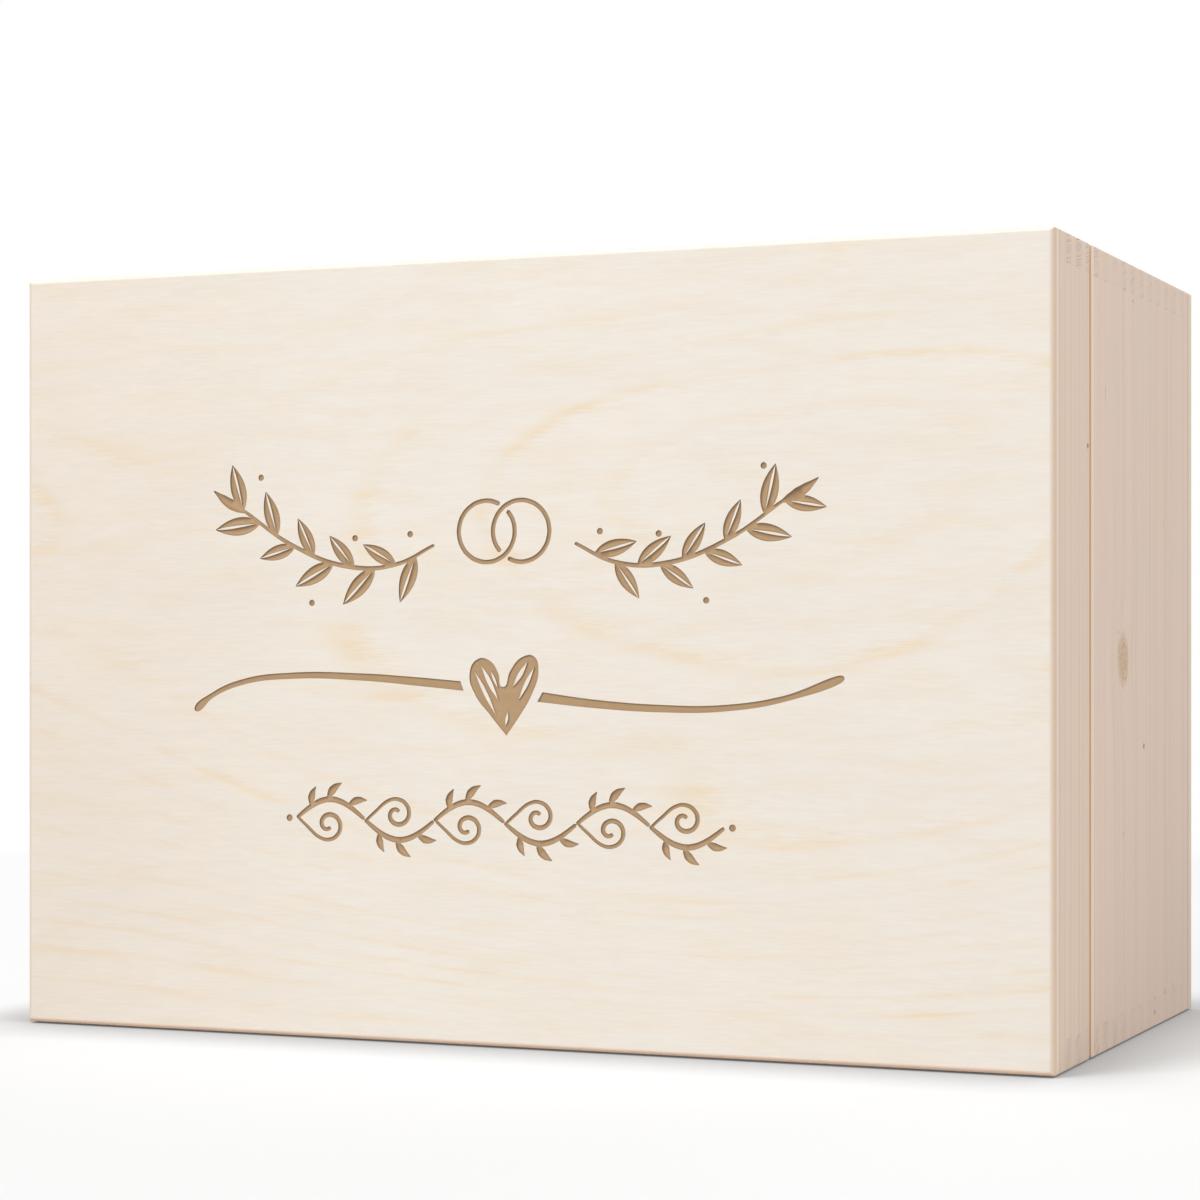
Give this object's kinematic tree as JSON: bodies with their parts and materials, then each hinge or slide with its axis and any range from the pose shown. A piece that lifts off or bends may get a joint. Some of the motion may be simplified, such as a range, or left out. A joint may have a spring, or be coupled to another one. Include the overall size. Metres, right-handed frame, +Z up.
{
  "type": "keepsake box",
  "caption": "Finger-jointed wooden keepsake box with plywood lid and base panels and a hinged lid that folds right back.",
  "frame": {"origin": "centre of the footprint, on the surface that the box stands on; its front wall is down, as in the picture", "axes": "+X along the box's width, towards its right side; -Y out of the closed lid's face, +Y out of the base; +Z up, from the front wall to the hinged back wall"},
  "size_m": [0.35, 0.19, 0.2515],
  "materials": {
    "plywood": "sanded, unfinished",
    "pine": "sanded, unfinished",
    "brass": "satin brass plate"
  },
  "bodies": {
    "body": {"base_panel": "plywood", "back_wall": "pine", "front_wall": "pine", "left_wall": "pine", "right_wall": "pine", "hinge_left_body_leaf": "brass", "hinge_right_body_leaf": "brass", "hinge_left_pin": "brass", "hinge_right_pin": "brass", "body_hinge_screws": "brass"},
    "lid": {"lid_panel": "plywood", "lid_rail_back": "pine", "lid_rail_front": "pine", "lid_rail_left": "pine", "lid_rail_right": "pine", "hinge_left_lid_leaf": "brass", "hinge_right_lid_leaf": "brass", "lid_hinge_screws": "brass"}
  },
  "joints": [
    {"name": "lid_hinge", "type": "hinge", "parent": "body", "child": "lid", "pos_m": [0, -0.05115, 0.2494], "axis": [-1, 0, 0], "range_deg": [0, 180]}
  ]
}
